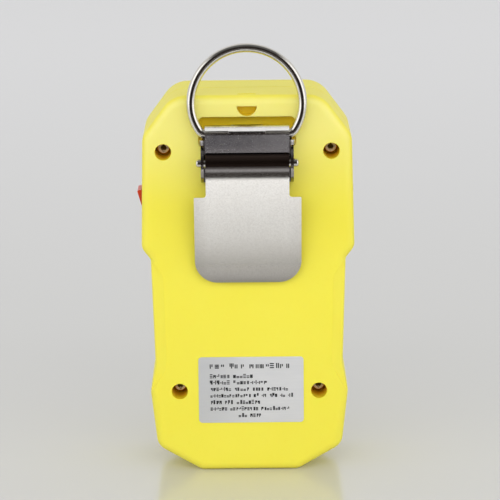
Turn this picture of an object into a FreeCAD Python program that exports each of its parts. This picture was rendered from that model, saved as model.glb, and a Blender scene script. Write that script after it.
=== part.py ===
import FreeCAD, Part
import math
import os

from FreeCAD import Vector

# Portable single-gas detector: a two-shell moulded case with a spring clip and a swivelling
# ring on its back, a rocker switch in one side and a covered charging socket in the other.
# Millimetres.  It stands on its flat foot at Z = 0, +Z is up, the display faces -Y, the clip
# is on the +Y side, and the rocker switch is on the +X side.

# ---- case -----------------------------------------------------------------------------
body_width = 60.1
body_height = 109.0
body_depth = 30.0
wall = 2.2
back_edge_round = 2.4
front_edge_round = 3.0
grip_inset = 3.35          # how far the waist stands in from the shoulders
grip_step = 46.8           # top of the waist, below the top of the case
step_height = 3.2
bulge_height = 23.4        # widest place of the foot bulge
bulge_inset = 1.85
bulge_fade = 8.1           # height over which the bulge fades into the waist
foot_height = 7.2
foot_inset = 3.65
stand_half = 13.9
shoulder_drop = 11.5
shoulder_inset = 0.75
top_half = 20.8
waist_flare = 0.85         # how far the waist widens up to its top
stand_corner = 3.0
foot_corner = 4.5
bulge_corner = 6.0
waist_corner = 12.0
step_corner = 1.8
flank_corner = 3.6
shoulder_corner = 5.5
top_corner = 8.0
seam_gap_half = 0.18
seam_gap_depth = 0.35

# ---- finger grips on the back ---------------------------------------------------------
scallop_crease_inset = 6.6
scallop_low = 25.0
scallop_high_drop = 46.6
scallop_tilt = 19.0
scallop_corner = 9.0
scallop_upper_corner = 4.5
scallop_crease_lean = 0.6
scallop_low_rise = 6.0     # from the lower end on the waist line up to the crease
scallop_low_drop = 0.5
scallop_low_run = 0.5
scallop_low_tail = 4.0
scallop_high_drop_in = 4.5
scallop_high_rise = 0.6
scallop_high_run = 1.5
scallop_high_tail = 2.0

# ---- case screws ----------------------------------------------------------------------
upper_screw_inset = 6.55
upper_screw_drop = 15.7
lower_screw_x_inset = 10.2
lower_screw_z = 23.8
screw_well_r = 2.3
screw_well_depth = 8.5
screw_shank_r = 1.2
screw_shank_clearance = 0.15
screw_head_r = 2.05
screw_head_height = 1.7
screw_head_edge = 0.55
screw_engagement = 4.5
screw_slot_width = 0.55
screw_slot_length = 2.3
screw_slot_depth = 0.9
boss_wall = 1.7
insert_r = 1.9
insert_length = 5.0
insert_pocket_depth = 6.0
insert_bore_clearance = 0.05

# ---- case seal ------------------------------------------------------------------------
seal_width = 0.9
seal_height = 0.8
seal_clearance = 0.05

# ---- lanyard hole ---------------------------------------------------------------------
lanyard_half = 2.8
lanyard_flat_drop = 2.9
lanyard_depth = 4.1
lanyard_slot_half = 2.55
lanyard_slot_width = 1.4
lanyard_block_wall = 1.6

# ---- clip -----------------------------------------------------------------------------
sheet = 0.8
ring_wire_r = 1.25
ring_bar_drop = 10.2
ring_bar_clearance = 0.35
ring_half = 15.5
ring_top_reach = 23.8
ring_corner_r = 2.2
ring_rest_gap = 0.15
ring_leg_gap = 0.9         # from the rolled plate's end to where a leg meets the bar's line
channel_r = 4.5
channel_half = 13.6
channel_offset = 1.0
channel_backing = 1.8
channel_end_r = 1.5
hook_half = 4.2
hook_clearance = 0.25
hook_lift = 1.0            # room above the hook, to lift the plate in and out
hook_reach = 6.4
roll_half = 11.7
front_flap_height = 4.9
slit_height = 0.85         # the two slits that show the ring's bar
slit_rise = 0.35
slit_inner_half = 5.0
slit_corner = 0.34
pin_drop = 18.1
pin_rise = 2.8             # the pin's centre above the plate and the closed lever on it
pin_r = 1.15
pin_half = 14.3
pin_end_r = 0.69
pin_fit = 0.02
lever_pin_fit = 0.05
ear_inner = 12.1
ear_r = 5.6
ear_top_drop = 13.0
tongue_half = 9.5
tongue_end_drop = 50.6
tongue_corner = 3.0
lug_height = 1.4
lug_r = 1.6
lug_rise = 0.14
lug_foot = 1.0
barrel_gap = 0.14          # between the spring's coils and the barrel
barrel_wrap = 172.0
barrel_exit = 6.0
crown_r = 16.7
lever_lean = 10.5
lip_height = 5.3
lip_r = 30.0
lip_overrun = 2.0
lever_end_drop = 52.8
neck_half = 11.6
shoulder_z_drop = 27.5
lever_half = 14.95
lever_corner = 6.3
neck_corner = 0.8
lever_shoulder_r = 0.3
ridge_gap = 0.15
ridge_length = 1.2
spring_wire_r = 0.24
spring_coil_r = 1.52
spring_pitch = 0.56
spring_turns = 5
spring_inner_end = 3.0
spring_leg = 7.0
spring_back_angle = 14.0
rivet_x = 5.5
rivet_drop = 38.0
rivet_r = 1.45
rivet_head_r = 2.3
rivet_head_height = 0.8
rivet_fit = 0.02

# ---- rating label ---------------------------------------------------------------------
label_width = 29.9
label_height = 19.4
label_bottom = 14.5
label_thickness = 0.15
label_corner = 1.0
label_shift = -0.5

# ---- rocker switch and charging socket, in the sides of the rear shell ----------------
side_z_drop = 32.8
side_y = 5.6
bezel_half_y = 5.1
bezel_half_z = 7.6
bezel_thickness = 1.0
bezel_sink = 0.35
bezel_corner = 1.0
pocket_clearance = 0.15
switch_half_y = 4.2
switch_half_z = 6.7
switch_hole_clearance = 0.1
switch_depth = 10.0
switch_cavity_depth = 4.6
tab_length = 3.0
tab_pitch = 4.4
tab_half_y = 1.0
tab_half_z = 0.25
rocker_half_y = 3.6
rocker_half_z = 5.6
rocker_side_gap = 0.2
rocker_end_gap = 0.6
rocker_pivot_depth = 2.6
rocker_centre_rise = 2.47
rocker_vee = 7.0
rocker_tilt = 9.0
rocker_underside = 1.5
rocker_tip_r = 0.35
rocker_skirt = 1.2
rocker_base_half_z = 3.2
rocker_pin_r = 0.8
rocker_pin_fit = 0.06
flap_half_y = 4.6
flap_half_z = 6.4
flap_thickness = 1.2
flap_clearance = 0.3
flap_corner = 1.2
nail_r = 1.0               # the groove for a finger nail in the cover's top end
nail_out = 0.5
nail_half = 2.0
nail_inset = 1.6
plug_half_y = 0.95
plug_half_z = 3.3
plug_length = 1.9
socket_half_y = 1.6
socket_half_z = 4.0
socket_wall = 0.35
socket_length = 7.0
socket_back = 1.0
socket_tongue_half_y = 0.3
socket_tongue_half_z = 2.6
socket_tongue_embed = 0.5

# ---- front: window, keys, sensor ------------------------------------------------------
plate_half = 21.0
plate_low = 31.0
plate_sensor_gap = 1.9
plate_thickness = 0.6
plate_corner = 3.0
plate_clearance = 0.1
window_half = 17.5
window_key_gap = 5.4       # from the keys' edge up to the window
window_sensor_gap = 4.0    # from the window up to the sensor cap's rim
window_lip = 1.2
window_thickness = 1.2
window_corner = 1.0
lcd_border_x = 1.3
lcd_border_z = 1.9
lcd_gap = 0.15
lcd_view_inset = 1.0
lcd_view_depth = 0.4
key_z = 40.0
key_pitch = 14.0
key_r = 4.4
key_gap = 0.3
key_proud = 0.9
key_flange = 1.2
key_flange_thickness = 0.9
key_stem_r = 1.6
key_travel = 0.6
key_over_travel = 0.1
key_edge = 0.5
mat_half = 20.0
mat_half_z = 5.6
mat_thickness = 0.8
mat_corner = 1.0
dome_r = 3.0
dome_height = 0.8
sensor_drop = 18.5
sensor_r = 10.1
sensor_length = 16.5
sensor_edge = 0.6
inlet_r = 1.5
inlet_depth = 0.8
sensor_cap_r = 13.0
sensor_cap_proud = 1.6
sensor_neck_r = 11.2
sensor_neck_fit = 0.15
sensor_cap_face = 1.4
sensor_cap_edge = 0.53
sensor_bore_clearance = 0.3
vent_r = 0.85
vent_rings = ((0.0, 1), (3.0, 6), (6.0, 12))
filter_thickness = 0.4
filter_clearance = 0.2
gasket_wire_r = 0.5
gasket_r = 8.6
contact_pin_r = 0.75
contact_pin_length = 2.6
contact_pin_circle = 6.6
contact_pin_fit = 0.05
contact_pin_angles = (90.0, 210.0, 330.0)
sensor_board_thickness = 1.2
sensor_board_gap = 0.5
sensor_board_inset = 1.0
lens_x = 16.6
lens_drop = 8.6
lens_half = 3.4
lens_r = 1.5
lens_clearance = 0.05
lens_proud = 0.4
lens_tail = 0.3
led_r = 1.3
led_height = 2.4
led_dome_r = 0.78

# ---- inside ---------------------------------------------------------------------------
board_thickness = 1.6
board_front = 7.4          # from the front face to the board's front
board_low = 9.0
board_side_gap = 0.8
board_sensor_gap = 0.8
board_arm_inner = 12.3
board_arm_outer = 19.0
board_arm_top_drop = 7.0
board_arm_overlap = 1.0
board_corner = 1.5
board_foot_notch = 5.0
boss_clearance = 0.4
post_r = 2.2
post_hole_r = 1.0
post_fit = 0.05
post_inset = 5.5
post_low_z = 32.0
post_high_drop = 37.0
board_screw_head_r = 1.9
board_screw_head = 1.2
board_screw_length = 4.6
board_slot_half = 1.4
board_slot_half_width = 0.25
battery_half = 15.0
battery_rivet_gap = 7.7    # from the battery's top up to the rivets' tails
battery_thickness = 10.0
battery_low = 13.0
battery_edge = 1.5
pad_thickness = 0.5
pad_inset = 1.2
buzzer_r = 6.0
buzzer_height = 4.6
buzzer_z = 22.0
buzzer_port_r = 1.0
buzzer_port_depth = 1.0
slot_count = 5
slot_pitch = 2.4
slot_half = 5.0
slot_half_width = 0.5
motor_r = 3.0
motor_half = 5.0
motor_edge = 0.4
motor_foot_inset = 1.0
motor_drop = 39.5
motor_gap = 0.3
motor_shaft_r = 0.4
motor_shaft_fit = 0.02
weight_r = 2.5
weight_thickness = 3.0
weight_gap = 0.5
weight_flat = 0.8          # from the shaft's centre to the flat side
# the larger components on the back of the board: x, z, width, height and thickness
chip_places = (
    (-9.0, 36.0, 10.0, 10.0, 1.2),
    (8.0, 44.0, 6.0, 8.0, 1.5),
    (10.0, 30.0, 5.0, 5.0, 2.4),
    (-10.0, 52.0, 7.0, 4.0, 1.4),
)

# ---- for building ---------------------------------------------------------------------
past = 1.0                 # how far a cutting shape runs past the face it cuts
same = 1e-4                # two places closer than this are the same place
straight = 0.98            # share of a slot's half-width that its end arcs take up

# ---- places worked out from the sizes above -------------------------------------------
half_width = body_width / 2
back_y = body_depth / 2
front_y = -body_depth / 2
inner_back = back_y - wall
inner_front = front_y + wall
waist_half = half_width - grip_inset
waist_top = body_height - grip_step
shoulder_low = waist_top + step_height
shoulder_z = body_height - shoulder_drop
upper_screw = (half_width - upper_screw_inset, body_height - upper_screw_drop)
lower_screw = (half_width - lower_screw_x_inset, lower_screw_z)
screw_places = [
    (side * x, z) for x, z in (upper_screw, lower_screw) for side in (-1, 1)
]
screw_seat = back_y - screw_well_depth
boss_r = screw_well_r + boss_wall
ring_y = back_y + ring_wire_r + ring_bar_clearance + sheet
ring_z = body_height - ring_bar_drop
roll_in = ring_wire_r + ring_bar_clearance
roll_out = roll_in + sheet
pin_y = back_y + 2 * sheet + pin_rise
pin_z = body_height - pin_drop
barrel_r = spring_coil_r + spring_wire_r + barrel_gap + sheet
board_y = front_y + board_front
board_back = board_y + board_thickness
sensor_z = body_height - sensor_drop
side_z = body_height - side_z_drop
rivet_z = body_height - rivet_drop
sensor_rim_low = sensor_z - sensor_cap_r
window_low = key_z + key_r + window_key_gap
window_high = sensor_rim_low - window_sensor_gap
battery_high = rivet_z - rivet_head_r - battery_rivet_gap
motor_z = body_height - motor_drop
motor_y = board_back + motor_gap + motor_r


def side_x(z):
    """Half-width of the case's straight flank, above the waist, at height z."""
    share = (z - shoulder_low) / (shoulder_z - shoulder_low)
    return half_width - shoulder_inset * share


# ---- small helpers --------------------------------------------------------------------
def box(x0, x1, y0, y1, z0, z1):
    return Part.makeBox(x1 - x0, y1 - y0, z1 - z0, Vector(x0, y0, z0))


def rod(radius, start, end):
    """A cylinder of this radius from one point to the other."""
    start = Vector(*start)
    axis = Vector(*end) - start
    return Part.makeCylinder(radius, axis.Length, start, axis)


def rounded_path(corners):
    """A closed wire through (point, corner radius) pairs, each corner a tangent arc."""
    count = len(corners)
    arcs = []
    for i, (corner, radius) in enumerate(corners):
        before = (corners[i - 1][0] - corner).normalize()
        after = (corners[(i + 1) % count][0] - corner).normalize()
        if radius <= 0:
            arcs.append((corner, corner, corner))
            continue
        half = before.getAngle(after) / 2
        reach = radius / math.tan(half)
        middle = (before + after).normalize() * (radius / math.sin(half) - radius)
        arcs.append((corner + before * reach, corner + middle, corner + after * reach))
    edges = []
    for i, (start, middle, end) in enumerate(arcs):
        if start != end:
            edges.append(Part.Arc(start, middle, end).toShape())
        following = arcs[(i + 1) % count][0]
        edges.append(Part.LineSegment(end, following).toShape())
    return Part.Wire(edges)


def prism_y(corners, y0, y1):
    """A solid from y0 to y1 whose outline has these (x, z, corner radius) corners."""
    wire = rounded_path([(Vector(x, y0, z), r) for x, z, r in corners])
    return Part.Face(wire).extrude(Vector(0, y1 - y0, 0))


def rounded_plate(x0, x1, z0, z1, radius, y0, y1):
    corners = ((x0, z0), (x1, z0), (x1, z1), (x0, z1))
    return prism_y([(x, z, radius) for x, z in corners], y0, y1)


def both_sides(shape):
    """The shape and its mirror image across the case's middle plane."""
    return [shape, shape.mirror(Vector(0, 0, 0), Vector(1, 0, 0))]


def edges_in_plane_y(shape, y):
    return [
        e
        for e in shape.Edges
        if abs(e.BoundBox.YMin - y) < same and abs(e.BoundBox.YMax - y) < same
    ]


def end_circles(shape):
    return [e for e in shape.Edges if e.Curve.TypeId == "Part::GeomCircle"]


def save(node, shape):
    if isinstance(shape, list):
        shape = Part.makeCompound(shape)
    assert shape.isValid(), node
    shape.exportStep(os.path.join("parts", node + ".step"))


# ---- case -----------------------------------------------------------------------------
def case_outline(inset=0.0, y=0.0):
    """The case's outline seen from the back, drawn in by an even margin where asked."""
    right = [
        (stand_half, 0.0, stand_corner),
        (half_width - foot_inset, foot_height, foot_corner),
        (half_width - bulge_inset, bulge_height, bulge_corner),
        (waist_half, bulge_height + bulge_fade, waist_corner),
        (waist_half + waist_flare, waist_top, step_corner),
        (half_width, shoulder_low, flank_corner),
        (side_x(shoulder_z), shoulder_z, shoulder_corner),
        (top_half, body_height, top_corner),
    ]
    left = [(-x, z, r) for x, z, r in reversed(right)]
    wire = rounded_path([(Vector(x, y, z), r) for x, z, r in right + left])
    if inset:
        wire = wire.makeOffset2D(-inset)
    return wire


def case_prism(y0, y1, inset=0.0):
    return Part.Face(case_outline(inset, y0)).extrude(Vector(0, y1 - y0, 0))


def rounded_case_body():
    body = case_prism(front_y, back_y)
    body = body.makeFillet(back_edge_round, edges_in_plane_y(body, back_y))
    return body.makeFillet(front_edge_round, edges_in_plane_y(body, front_y))


def seam_groove():
    outer = case_prism(-seam_gap_half, seam_gap_half, -wall)
    return outer.cut(case_prism(-seam_gap_half, seam_gap_half, seam_gap_depth))


def finger_grip():
    """The shallow hollow along one edge of the back, deeper towards the outside."""
    crease = half_width - scallop_crease_inset
    outside = half_width + wall
    high = body_height - scallop_high_drop
    region = prism_y(
        [
            (outside, scallop_low - scallop_low_tail, 0.0),
            (waist_half + scallop_low_run, scallop_low - scallop_low_drop, 0.0),
            (crease, scallop_low + scallop_low_rise, scallop_corner),
            (crease + scallop_crease_lean, high - scallop_high_drop_in, scallop_upper_corner),
            (waist_half + scallop_high_run, high + scallop_high_rise, 0.0),
            (outside, high + scallop_high_tail, 0.0),
        ],
        inner_back,
        back_y + wall,
    )
    above = box(crease, outside + wall, back_y, back_y + 2 * wall, 0, body_height)
    above.rotate(Vector(crease, back_y, 0), Vector(0, 0, 1), -scallop_tilt)
    return region.common(above)


def channel():
    """The hollow behind the ring's bar, so that the ring can turn."""
    y = back_y + channel_offset
    body = rod(channel_r, (-channel_half, y, ring_z), (channel_half, y, ring_z))
    return body.makeFillet(channel_end_r, end_circles(body))


def channel_backing_pad():
    y = back_y + channel_offset
    reach = channel_half + channel_backing
    pad = rod(channel_r + channel_backing, (-reach, y, ring_z), (reach, y, ring_z))
    return pad.common(case_prism(0, back_y - back_edge_round / 2, wall / 2))


def hook_slot():
    half = hook_half + hook_clearance
    low = ring_z - hook_clearance
    return box(-half, half, 0, back_y, low, low + sheet + hook_lift)


def lanyard_block():
    half = lanyard_half + lanyard_block_wall
    y0 = back_y - lanyard_depth - lanyard_block_wall
    z0 = body_height - lanyard_flat_drop - 2 * lanyard_half
    return box(-half, half, y0, inner_back + wall / 2, z0, body_height - wall / 2)


def lanyard_hole():
    """A half-round mouth in the back that joins a slot in the top, round a bar."""
    z = body_height - lanyard_flat_drop
    y0 = back_y - lanyard_depth
    mouth = rod(lanyard_half, (0, y0, z), (0, back_y + wall, z))
    mouth = mouth.common(box(-half_width, half_width, 0, body_depth, 0, z))
    slot = box(
        -lanyard_slot_half,
        lanyard_slot_half,
        y0,
        y0 + lanyard_slot_width,
        z - lanyard_half / 2,
        body_height + past,
    )
    return mouth.fuse(slot)


def screw_boss(x, z, y0, y1):
    return rod(boss_r, (x, y0, z), (x, y1, z))


def screw_well(x, z):
    well = rod(screw_well_r, (x, screw_seat, z), (x, back_y + wall, z))
    bore_r = screw_shank_r + screw_shank_clearance
    return well.fuse(rod(bore_r, (x, -wall, z), (x, back_y, z)))


def side_pocket(side, half_y, half_z, depth, through_y, through_z):
    """A pocket in the flank of the case, with a smaller hole through its floor."""
    face = side_x(side_z)
    outer = sorted((side * (face - depth), side * (face + wall)))
    inner = sorted((side * (face - 3 * wall), side * (face + wall)))
    return side_box(outer, half_y, half_z).fuse(side_box(inner, through_y, through_z))


def side_box(span, half_y, half_z):
    """A block across this span of X, centred on the switch's and the socket's height."""
    return box(*span, side_y - half_y, side_y + half_y, side_z - half_z, side_z + half_z)


def switch_opening():
    return side_pocket(
        1,
        bezel_half_y + pocket_clearance,
        bezel_half_z + pocket_clearance,
        bezel_thickness + bezel_sink,
        switch_half_y + switch_hole_clearance,
        switch_half_z + switch_hole_clearance,
    )


def socket_opening():
    return side_pocket(
        -1,
        flap_half_y + flap_clearance,
        flap_half_z + flap_clearance,
        flap_thickness + pocket_clearance,
        socket_half_y + switch_hole_clearance,
        socket_half_z + switch_hole_clearance,
    )


def side_backing(side, half_y, half_z, depth):
    """Thickens the flank behind a side pocket."""
    face = side_x(side_z)
    span = sorted((side * (face - depth - wall), side * (face - wall / 2)))
    return side_box(span, half_y + wall / 2, half_z + wall / 2)


def rivet_hole():
    return rod(rivet_r + rivet_fit, (rivet_x, 0, rivet_z), (rivet_x, body_depth, rivet_z))


def rear_shell():
    limit = rounded_case_body().common(case_prism(0, body_depth))
    shell = limit.cut(case_prism(-wall, inner_back, wall))
    pads = [screw_boss(x, z, 0, inner_back + wall / 2) for x, z in screw_places]
    pads.append(channel_backing_pad())
    pads.append(lanyard_block())
    pads.append(side_backing(1, bezel_half_y, bezel_half_z, bezel_thickness + bezel_sink))
    pads.append(side_backing(-1, flap_half_y, flap_half_z, flap_thickness))
    shell = shell.fuse([pad.common(limit) for pad in pads])
    cuts = [screw_well(x, z) for x, z in screw_places]
    cuts += [channel(), hook_slot(), lanyard_hole(), switch_opening(), socket_opening()]
    cuts += both_sides(finger_grip())
    cuts += both_sides(rivet_hole())
    cuts.append(seam_groove())
    return shell.cut(cuts).removeSplitter()


def seal_ring(clearance, y0, y1):
    margin = (wall - seal_width) / 2
    outer = case_prism(y0, y1, margin - clearance)
    return outer.cut(case_prism(y0, y1, wall - margin + clearance))


def face_plate_corners(margin):
    half = plate_half - margin
    high = sensor_rim_low - plate_sensor_gap
    return (-half, half, plate_low + margin, high - margin, plate_corner)


def key_places():
    return [(step * key_pitch, key_z) for step in (-1, 0, 1)]


def lens_shape(margin, y0, y1):
    """An oval lens bar that follows the shoulder's slope."""
    z = body_height - lens_drop
    half = lens_half + margin
    run = half_width - shoulder_inset - top_half
    slope = math.degrees(math.atan2(shoulder_drop, run))
    radius = lens_r + margin
    shape = rounded_plate(
        lens_x - half, lens_x + half, z - radius, z + radius, radius * straight, y0, y1
    )
    shape.rotate(Vector(lens_x, 0, z), Vector(0, 1, 0), slope)
    return shape


def sound_slots():
    slots = []
    for step in range(slot_count):
        z = buzzer_z + (step - (slot_count - 1) / 2) * slot_pitch
        slots.append(
            rounded_plate(
                -slot_half,
                slot_half,
                z - slot_half_width,
                z + slot_half_width,
                slot_half_width * straight,
                front_y - wall,
                inner_front + wall,
            )
        )
    return slots


def post_places():
    low_x = waist_half - post_inset
    high = body_height - post_high_drop
    return [(side * low_x, z) for z in (post_low_z, high) for side in (-1, 1)]


def front_shell():
    limit = rounded_case_body().common(case_prism(-body_depth, 0))
    shell = limit.cut(case_prism(inner_front, wall, wall))
    pads = [screw_boss(x, z, inner_front - wall / 2, 0) for x, z in screw_places]
    pads += [
        rod(post_r, (x, inner_front - wall / 2, z), (x, board_y, z)) for x, z in post_places()
    ]
    shell = shell.fuse([pad.common(limit) for pad in pads])
    bore_r = insert_r + insert_bore_clearance
    cuts = [rod(bore_r, (x, -insert_pocket_depth, z), (x, wall, z)) for x, z in screw_places]
    cuts += [
        rod(post_hole_r, (x, inner_front, z), (x, board_y + wall, z)) for x, z in post_places()
    ]
    cuts.append(seal_ring(seal_clearance, -seal_height - seal_clearance, wall))
    cuts.append(seam_groove())
    recess = face_plate_corners(-plate_clearance)
    cuts.append(rounded_plate(*recess, front_y - wall, front_y + plate_thickness))
    cuts.append(window_pane(plate_clearance, front_y - wall, inner_front + wall))
    cuts += [
        rod(key_r + key_gap, (x, front_y - wall, z), (x, inner_front + wall, z))
        for x, z in key_places()
    ]
    neck_bore_r = sensor_neck_r + sensor_neck_fit
    cuts.append(
        rod(neck_bore_r, (0, front_y - wall, sensor_z), (0, inner_front + wall, sensor_z))
    )
    cuts += both_sides(lens_shape(lens_clearance, front_y - wall, inner_front + wall))
    cuts += sound_slots()
    return shell.cut(cuts).removeSplitter()


def case_seal():
    return seal_ring(0.0, -seal_height, 0.0)


def case_screws():
    screws = []
    for x, z in screw_places:
        top = screw_seat + screw_head_height
        shank = rod(screw_shank_r, (x, -screw_engagement, z), (x, screw_seat, z))
        head = rod(screw_head_r, (x, screw_seat, z), (x, top, z))
        head = head.makeFillet(screw_head_edge, edges_in_plane_y(head, top))
        floor = top - screw_slot_depth
        half_long = screw_slot_length / 2
        half_wide = screw_slot_width / 2
        upright = box(
            x - half_wide, x + half_wide, floor, top + past, z - half_long, z + half_long
        )
        level = box(
            x - half_long, x + half_long, floor, top + past, z - half_wide, z + half_wide
        )
        screws.append(shank.fuse(head).cut([upright, level]).removeSplitter())
    return screws


def screw_inserts():
    inserts = []
    for x, z in screw_places:
        sleeve = rod(insert_r, (x, -insert_length, z), (x, 0, z))
        bore_r = screw_shank_r + insert_bore_clearance
        bore = rod(bore_r, (x, -insert_length - past, z), (x, past, z))
        inserts.append(sleeve.cut(bore))
    return inserts


# ---- clip -----------------------------------------------------------------------------
def lever_outer_face():
    """Outer face of the lever from the barrel down: crown centre, crown end, lip start."""
    exit_angle = math.radians(barrel_exit)
    lean = math.radians(lever_lean)
    start = (pin_y + barrel_r * math.cos(exit_angle), pin_z + barrel_r * math.sin(exit_angle))
    centre = (
        start[0] - crown_r * math.cos(exit_angle),
        start[1] - crown_r * math.sin(exit_angle),
    )
    crown_end = (centre[0] + crown_r * math.cos(lean), centre[1] - crown_r * math.sin(lean))
    lip_z = body_height - lever_end_drop + lip_height
    lip_start = (crown_end[0] - (crown_end[1] - lip_z) * math.tan(lean), lip_z)
    return centre, crown_end, lip_start


def ring_sector(y, z, r_in, r_out, start, sweep, x0, x1):
    """Part of a tube along X: angles in degrees from +Y towards +Z."""
    tube = rod(r_out, (x0, y, z), (x1, y, z))
    tube = tube.cut(rod(r_in, (x0 - past, y, z), (x1 + past, y, z)))
    reach = 2 * r_out
    points = [Vector(x0, y, z)]
    steps = max(2, math.ceil(sweep / 45.0))
    for i in range(steps + 1):
        angle = math.radians(start + sweep * i / steps)
        points.append(Vector(x0, y + reach * math.cos(angle), z + reach * math.sin(angle)))
    points.append(points[0])
    wedge = Part.Face(Part.makePolygon(points)).extrude(Vector(x1 - x0, 0, 0))
    return tube.common(wedge)


def clip_lever():
    """The sprung flap: a barrel round the pin, a crown, a flat web and a flared lip."""
    (centre_y, centre_z), crown_end, lip_start = lever_outer_face()
    width = (-lever_half, lever_half)
    barrel = ring_sector(
        pin_y,
        pin_z,
        barrel_r - sheet,
        barrel_r,
        barrel_exit,
        barrel_wrap - barrel_exit,
        -neck_half,
        neck_half,
    )
    crown_sweep = lever_lean + barrel_exit
    crown = ring_sector(
        centre_y, centre_z, crown_r - sheet, crown_r, -lever_lean, crown_sweep, *width
    )
    lean = math.radians(lever_lean)
    inward = Vector(0, -math.cos(lean), math.sin(lean)) * sheet
    outer_top = Vector(-lever_half, *crown_end)
    outer_low = Vector(-lever_half, *lip_start)
    web = Part.makePolygon(
        [outer_top, outer_low, outer_low + inward, outer_top + inward, outer_top]
    )
    plate = Part.Face(web).extrude(Vector(2 * lever_half, 0, 0))
    lip_y = lip_start[0] + lip_r * math.cos(lean)
    lip_z = lip_start[1] - lip_r * math.sin(lean)
    lip_sweep = math.degrees(lip_height / lip_r) + lip_overrun
    lip = ring_sector(
        lip_y, lip_z, lip_r, lip_r + sheet, 180 - lever_lean, lip_sweep, *width
    )
    body = plate.fuse([crown, lip]).common(prism_y(lever_face(), 0, 2 * body_depth))
    cheek = rod(barrel_r, (neck_half - sheet, pin_y, pin_z), (neck_half, pin_y, pin_z))
    body = body.fuse([barrel] + both_sides(cheek))
    bore_r = pin_r + lever_pin_fit
    bore = rod(bore_r, (-body_width, pin_y, pin_z), (body_width, pin_y, pin_z))
    return body.cut(bore).removeSplitter()


def lever_face():
    """The lever's outline seen from the back: a narrow neck on a wide rounded jaw."""
    end = body_height - lever_end_drop
    shoulder = body_height - shoulder_z_drop
    neck_top = pin_z + barrel_r
    right = [
        (lever_half, end, lever_corner),
        (lever_half, shoulder, lever_shoulder_r),
        (neck_half, shoulder, neck_corner),
        (neck_half, neck_top, 0.0),
    ]
    return right + [(-x, z, r) for x, z, r in reversed(right)]


def clip_base():
    face = back_y
    tongue_end = body_height - tongue_end_drop
    ear_top = body_height - ear_top_drop
    ear_low = ear_top - 2 * ear_r
    ear_outer = ear_inner + sheet
    tongue_top = ear_low + 2 * tongue_corner
    tongue = rounded_plate(
        -tongue_half, tongue_half, tongue_end, tongue_top, tongue_corner, face, face + sheet
    )
    middle = box(-ear_outer, ear_outer, face, face + sheet, ear_low, ear_top)
    upper = box(-roll_half, roll_half, face, face + sheet, ear_top - sheet, ring_z)
    roll = ring_sector(ring_y, ring_z, roll_in, roll_out, 0, 180, -roll_half, roll_half)
    flap_low = ring_z - front_flap_height
    flap = box(-roll_half, roll_half, ring_y + roll_in, ring_y + roll_out, flap_low, ring_z)
    hook = box(-hook_half, hook_half, face - hook_reach, face + sheet, ring_z, ring_z + sheet)
    ear_y = face + sheet
    ear_z = ear_top - ear_r
    ear = rod(ear_r, (ear_inner, ear_y, ear_z), (ear_outer, ear_y, ear_z))
    ear = ear.common(box(0, body_width, face, body_depth, 0, body_height))
    pieces = [middle, upper, roll, flap, hook] + both_sides(ear) + both_sides(clip_lug())
    pieces.append(grip_ridge())
    body = tongue.fuse(pieces)
    slit_low = ring_z + slit_rise
    slit = box(
        slit_inner_half, half_width, ring_y, body_depth, slit_low, slit_low + slit_height
    )
    inner_edges = [
        e
        for e in slit.Edges
        if e.BoundBox.XMax < slit_inner_half + same and e.BoundBox.YLength > slit_height
    ]
    cuts = both_sides(slit.makeFillet(slit_corner, inner_edges))
    cuts.append(rod(pin_r + pin_fit, (-body_width, pin_y, pin_z), (body_width, pin_y, pin_z)))
    cuts += both_sides(rivet_hole())
    return body.cut(cuts).removeSplitter()


def clip_lug():
    """The curled corner that stops the ring when it is swung forward."""
    front = ring_y + roll_out
    high = ring_z - roll_in + lug_rise
    low = high - lug_height
    centre_y = front - lug_r
    outer = rod(lug_r, (roll_half, centre_y, low), (roll_half, centre_y, high))
    curl = outer.cut(rod(lug_r - sheet, (roll_half, centre_y, low), (roll_half, centre_y, high)))
    curl = curl.common(box(roll_half, body_width, centre_y, body_depth, 0, body_height))
    outer_x = roll_half + lug_r
    side = box(outer_x - sheet, outer_x, back_y, centre_y, low, high)
    foot = box(roll_half - lug_foot, outer_x, back_y, back_y + sheet, low, high)
    return curl.fuse([side, foot])


def grip_ridge():
    """A raised bar across the tongue that the lever's lower end bears on."""
    lip_y, lip_z = lever_outer_face()[2]
    inner_y = lip_y - sheet / math.cos(math.radians(lever_lean))
    top = max(inner_y - ridge_gap, back_y + sheet)
    low = lip_z - ridge_length / 2
    half = tongue_half - tongue_corner
    return box(-half, half, back_y, top, low, low + ridge_length)


def clip_pin():
    pin = rod(pin_r, (-pin_half, pin_y, pin_z), (pin_half, pin_y, pin_z))
    return pin.makeFillet(pin_end_r, end_circles(pin))


def spring_coil(side):
    """One close-wound half of the torsion spring: one leg on the lever, one on the plate."""
    apart = lever_lean - spring_back_angle
    turns = spring_turns + 0.5 + apart / 360.0
    helix = Part.makeHelix(spring_pitch, spring_pitch * turns, spring_coil_r)
    start = Vector(spring_coil_r, 0, 0)
    section = Part.Wire(Part.makeCircle(spring_wire_r, start, Vector(0, 1, 0)))
    coil = Part.Wire(helix).makePipeShell([section], True, True)
    lever_leg = Part.makeCylinder(spring_wire_r, spring_leg, start, Vector(0, -1, 0))
    turn = math.radians(apart)
    across = -spring_coil_r * math.cos(turn)
    end = Vector(across, -spring_coil_r * math.sin(turn), spring_pitch * turns)
    away = Vector(math.sin(turn), -math.cos(turn), 0)
    plate_leg = Part.makeCylinder(spring_wire_r, spring_leg, end, away)
    coil = Part.makeCompound([coil, lever_leg, plate_leg])
    coil.rotate(Vector(0, 0, 0), Vector(0, 1, 0), 90)
    coil.rotate(Vector(0, 0, 0), Vector(1, 0, 0), 90 - lever_lean)
    coil.translate(Vector(spring_inner_end, pin_y, pin_z))
    return coil if side > 0 else coil.mirror(Vector(0, 0, 0), Vector(1, 0, 0))


def clip_spring():
    solids = []
    for side in (-1, 1):
        solids += spring_coil(side).Solids
    return solids


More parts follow.
